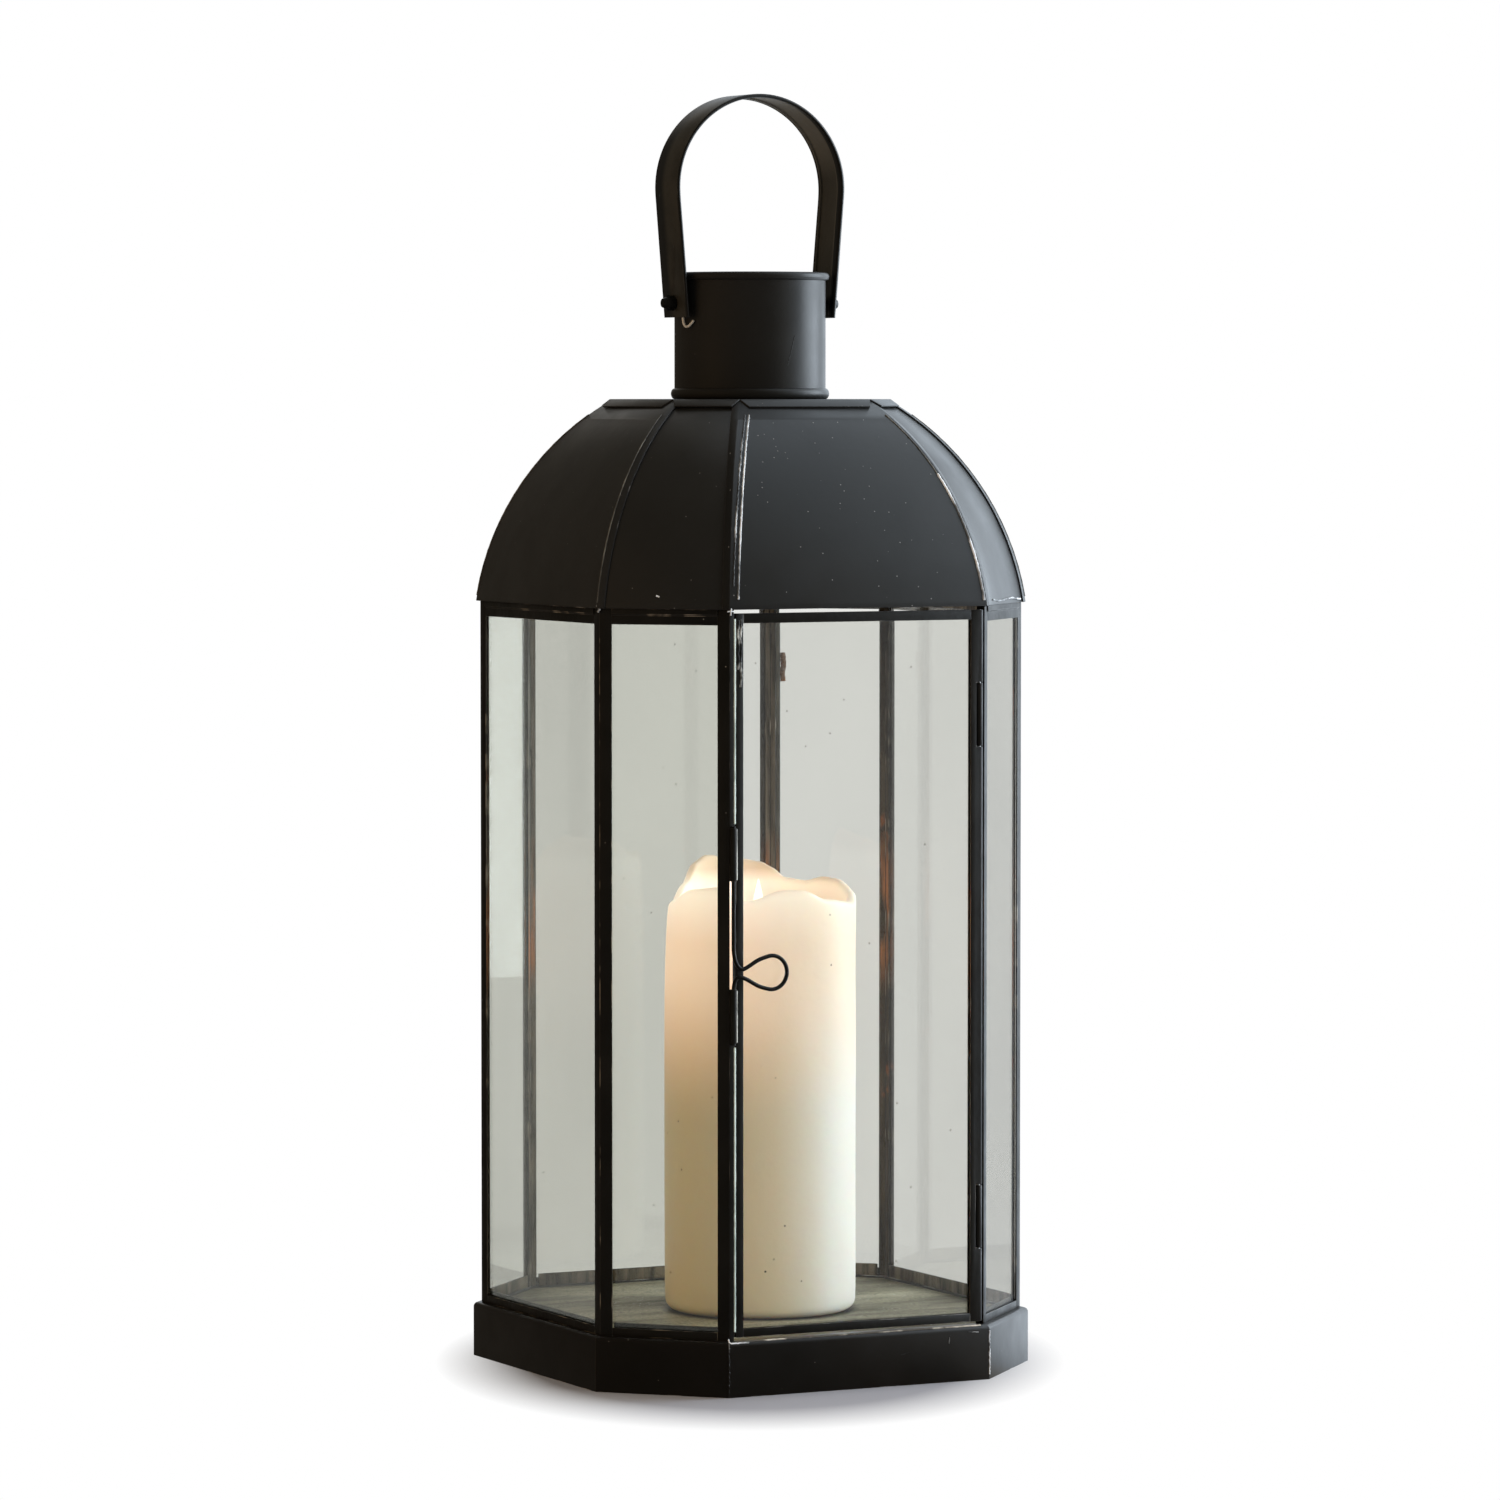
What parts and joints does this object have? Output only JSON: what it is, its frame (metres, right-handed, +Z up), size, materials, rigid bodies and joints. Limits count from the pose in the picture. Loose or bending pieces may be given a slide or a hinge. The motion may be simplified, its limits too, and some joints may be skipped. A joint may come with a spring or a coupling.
{
  "type": "candle lantern",
  "caption": "Tall octagonal candle lantern of glazed sheet metal with a hinged door, wire loop latch, curved panelled roof, open chimney and a swinging strap handle.",
  "frame": {"origin": "on the floor under the middle of the base", "axes": "+Z up the axis of the lantern, -Y out through the door, +X towards the door's hinge"},
  "size_m": [0.202, 0.202, 0.5326],
  "materials": {
    "black_paint": "worn satin black paint",
    "galvanised_sheet": "dull galvanised sheet",
    "glass": "clear float glass, dusty",
    "steel_wire": "bare drawn wire",
    "wax": "translucent cream wax",
    "wick": "charred cotton"
  },
  "bodies": {
    "lantern": {"base_tray": "black_paint", "floor_plate": "galvanised_sheet", "corner_post_1": "black_paint", "corner_post_2": "black_paint", "corner_post_3": "black_paint", "corner_post_4": "black_paint", "corner_post_5": "black_paint", "corner_post_6": "black_paint", "corner_post_7": "black_paint", "corner_post_8": "black_paint", "top_rail_front_right": "black_paint", "bottom_rail_front_right": "black_paint", "pane_front_right": "glass", "top_rail_right": "black_paint", "bottom_rail_right": "black_paint", "pane_right": "glass", "top_rail_back_right": "black_paint", "bottom_rail_back_right": "black_paint", "pane_back_right": "glass", "top_rail_back": "black_paint", "bottom_rail_back": "black_paint", "pane_back": "glass", "top_rail_back_left": "black_paint", "bottom_rail_back_left": "black_paint", "pane_back_left": "glass", "top_rail_left": "black_paint", "bottom_rail_left": "black_paint", "pane_left": "glass", "top_rail_front_left": "black_paint", "bottom_rail_front_left": "black_paint", "pane_front_left": "glass", "roof_panel_front": "black_paint", "roof_panel_front_right": "black_paint", "roof_panel_right": "black_paint", "roof_panel_back_right": "black_paint", "roof_panel_back": "black_paint", "roof_panel_back_left": "black_paint", "roof_panel_left": "black_paint", "roof_panel_front_left": "black_paint", "roof_cap": "black_paint", "chimney": "black_paint", "handle_bolt_left": "black_paint", "handle_bolt_right": "black_paint", "pivot_wire": "steel_wire", "candle": "wax", "candle_wick": "wick"},
    "door": {"door_latch_stile": "black_paint", "door_hinge_stile": "black_paint", "door_top_rail": "black_paint", "door_bottom_rail": "black_paint", "door_glass": "glass", "hinge_wire": "steel_wire"},
    "latch": {"latch_wire": "black_paint"},
    "handle": {"handle_strap": "black_paint"}
  },
  "joints": [
    {"name": "door_swing", "type": "hinge", "parent": "lantern", "child": "door", "pos_m": [0.0572, -0.0964, 0.1723], "axis": [0, 0, 1], "range_deg": [0, 110]},
    {"name": "latch_swing", "type": "hinge", "parent": "lantern", "child": "latch", "pos_m": [-0.0572, -0.0989, 0.1743], "axis": [0, 0, -1], "range_deg": [0, 110]},
    {"name": "handle_swing", "type": "hinge", "parent": "lantern", "child": "handle", "pos_m": [0, 0, 0.4453], "axis": [1, 0, 0], "range_deg": [-115, 115]}
  ]
}
